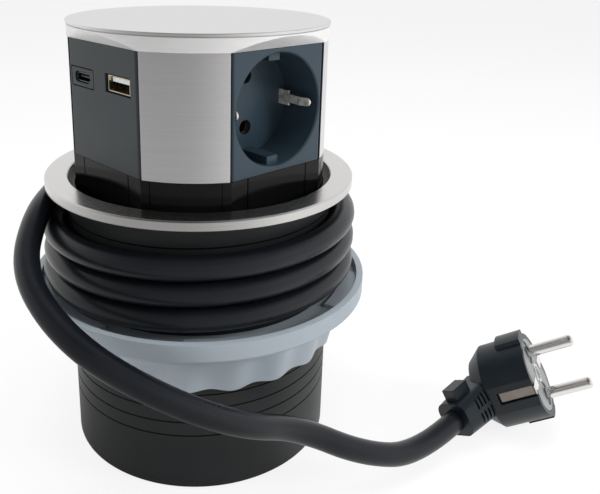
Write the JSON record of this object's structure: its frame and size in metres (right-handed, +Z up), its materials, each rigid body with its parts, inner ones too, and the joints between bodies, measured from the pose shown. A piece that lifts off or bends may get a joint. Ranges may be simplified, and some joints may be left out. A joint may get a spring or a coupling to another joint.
{
  "type": "pop up desk socket",
  "caption": "Round pop up power tower for a desk hole: earthed sockets and a charging face on a rising head, threaded housing, clamping nut, wound mains cord and plug.",
  "frame": {"origin": "on the housing's axis, at the flat underside of the base cover", "axes": "+Z up along the housing's axis; the front socket faces -Y, the charging face looks along -X"},
  "size_m": [0.1936, 0.1998, 0.1686],
  "materials": {
    "anthracite": "satin",
    "anthracite_blue": "satin",
    "black_gloss": "gloss",
    "black_satin": "satin",
    "board_green": "satin",
    "brass": "satin",
    "brushed_silver": "brushed",
    "cord_black": "satin",
    "felt": "matte",
    "foam": "matte",
    "nickel": "polished",
    "nut_grey": "fine texture",
    "pale_grey": "matte",
    "plug_black": "satin",
    "polished_silver": "fine turned",
    "steel": "satin",
    "strap_brown": "dull",
    "transformer_yellow": "satin",
    "white_plastic": "satin"
  },
  "bodies": {
    "housing": {"housing_tube": "black_satin", "trim_ring": "brushed_silver", "ring_gasket": "foam", "guide_bush": "black_satin", "friction_pads": "felt", "base_cover": "black_satin", "cover_screws": "steel", "cord_outlet": "black_satin", "terminal_block": "white_plastic", "inner_lead": "cord_black", "cord_riser": "cord_black", "cord_coil": "cord_black", "cord_free": "cord_black", "plug_body": "plug_black", "plug_face": "pale_grey", "plug_grip": "plug_black", "plug_pins": "nickel", "plug_earth_straps": "strap_brown"},
    "head": {"head_frame": "black_gloss", "cap_ring": "brushed_silver", "top_disc": "polished_silver", "tie_screws": "steel", "panel_front_right": "brushed_silver", "panel_back_right": "brushed_silver", "panel_back_left": "brushed_silver", "panel_front_left": "brushed_silver", "socket_insert_front": "anthracite_blue", "pin_contacts_front": "brass", "earth_clip_front": "nickel", "socket_insert_right": "anthracite_blue", "pin_contacts_right": "brass", "earth_clip_right": "nickel", "socket_insert_back": "anthracite_blue", "pin_contacts_back": "brass", "earth_clip_back": "nickel", "bus_bar_live": "brass", "bus_bar_neutral": "brass", "bus_bar_earth": "brass", "usb_faceplate": "anthracite", "usb_a_shell": "nickel", "usb_a_tongue": "white_plastic", "usb_c_shell": "nickel", "usb_c_tongue": "black_satin", "usb_board": "board_green", "usb_transformer": "transformer_yellow", "usb_capacitors": "black_satin", "lead_clamp": "white_plastic"},
    "pressure_ring": {"pressure_ring": "nut_grey"},
    "nut": {"clamping_nut": "nut_grey"}
  },
  "joints": [
    {"name": "head_lift", "type": "slide", "parent": "housing", "child": "head", "axis": [0, 0, 1], "range_m": [-0.055, 0], "deforming": ["inner_lead"]},
    {"name": "ring_slide", "type": "slide", "parent": "housing", "child": "pressure_ring", "axis": [0, 0, 1], "range_m": [-0.018, 0]},
    {"name": "nut_turn", "type": "hinge", "parent": "pressure_ring", "child": "nut", "pos_m": [0, 0, 0.05], "axis": [0, 0, 1], "range_deg": [-1136.8, 0]}
  ],
  "couplings": [
    {"joint": "ring_slide", "follows": "nut_turn", "m_per_rad": 0.00090718}
  ]
}
